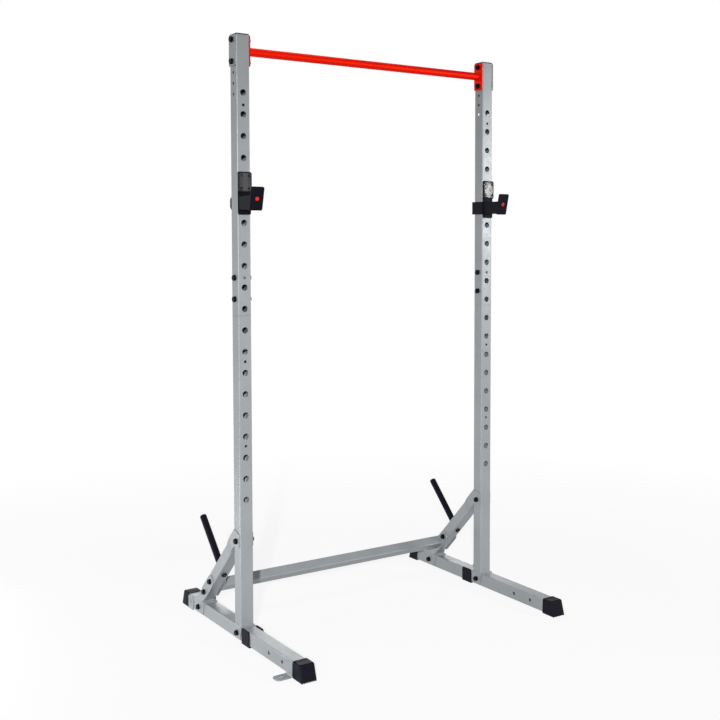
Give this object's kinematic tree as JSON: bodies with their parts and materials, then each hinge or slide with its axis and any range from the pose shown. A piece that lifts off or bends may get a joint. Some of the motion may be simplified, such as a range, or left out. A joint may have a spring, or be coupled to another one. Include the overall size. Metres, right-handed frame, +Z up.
{
  "type": "power rack",
  "caption": "Open power rack: perforated uprights on base tubes with rubber boots, joined by a pull-up bar and a rear crossbar, with braces, plate storage pegs and pull-off barbell catches.",
  "frame": {"origin": "on the floor at the middle of the footprint, which runs from the front boots to the rear boots and between the anchor tabs' tips", "axes": "+Z up; -Y is the front, where the catches open and the lifter stands; +X runs across the rack to the right upright"},
  "size_m": [1.2506, 0.954, 2.1353],
  "materials": {
    "silver_paint": "silver grey powder coat, satin",
    "red_paint": "red-orange powder coat, gloss",
    "black_paint": "black powder coat, satin",
    "black_rubber": "moulded rubber, matt",
    "black_plastic": "moulded, matt",
    "smoked_plastic": "smoked, polished",
    "badge_red": "plain red disc, gloss",
    "black_steel": "black bolts and capped nuts, satin"
  },
  "bodies": {
    "rack": {"base_tube_left": "silver_paint", "boot_front_left": "black_rubber", "anchor_bracket_front_left": "silver_paint", "boot_rear_left": "black_rubber", "anchor_bracket_rear_left": "silver_paint", "base_pad_left": "black_rubber", "lower_upright_left": "silver_paint", "splice_tube_left": "silver_paint", "upper_upright_left": "silver_paint", "top_plug_left": "black_plastic", "brace_left": "silver_paint", "crossbar_backing_left": "silver_paint", "bar_backing_left": "silver_paint", "storage_peg_left": "black_paint", "peg_cap_left": "black_plastic", "peg_bolt_left": "black_steel", "foot_bolt_left": "black_steel", "brace_foot_bolt_left": "black_steel", "brace_top_bolt_left": "black_steel", "splice_bolt_left_1": "black_steel", "splice_bolt_left_2": "black_steel", "bar_bolt_left_1": "black_steel", "bar_bolt_left_2": "black_steel", "crossbar_bolt_left_1": "black_steel", "crossbar_bolt_left_2": "black_steel", "base_tube_right": "silver_paint", "boot_front_right": "black_rubber", "anchor_bracket_front_right": "silver_paint", "boot_rear_right": "black_rubber", "anchor_bracket_rear_right": "silver_paint", "base_pad_right": "black_rubber", "lower_upright_right": "silver_paint", "splice_tube_right": "silver_paint", "upper_upright_right": "silver_paint", "top_plug_right": "black_plastic", "brace_right": "silver_paint", "crossbar_backing_right": "silver_paint", "bar_backing_right": "silver_paint", "storage_peg_right": "black_paint", "peg_cap_right": "black_plastic", "peg_bolt_right": "black_steel", "foot_bolt_right": "black_steel", "brace_foot_bolt_right": "black_steel", "brace_top_bolt_right": "black_steel", "splice_bolt_right_1": "black_steel", "splice_bolt_right_2": "black_steel", "bar_bolt_right_1": "black_steel", "bar_bolt_right_2": "black_steel", "crossbar_bolt_right_1": "black_steel", "crossbar_bolt_right_2": "black_steel", "crossbar": "silver_paint", "pull_up_bar": "red_paint"},
    "catch_left": {"catch_frame_left": "black_paint", "catch_liner_left": "smoked_plastic", "catch_badge_left": "badge_red"},
    "catch_right": {"catch_frame_right": "black_paint", "catch_liner_right": "smoked_plastic", "catch_badge_right": "badge_red"}
  },
  "joints": [
    {"name": "catch_slide_left", "type": "slide", "parent": "rack", "child": "catch_left", "axis": [0, -1, 0], "range_m": [0, 0.0075]},
    {"name": "catch_slide_right", "type": "slide", "parent": "rack", "child": "catch_right", "axis": [0, -1, 0], "range_m": [0, 0.0075]}
  ]
}
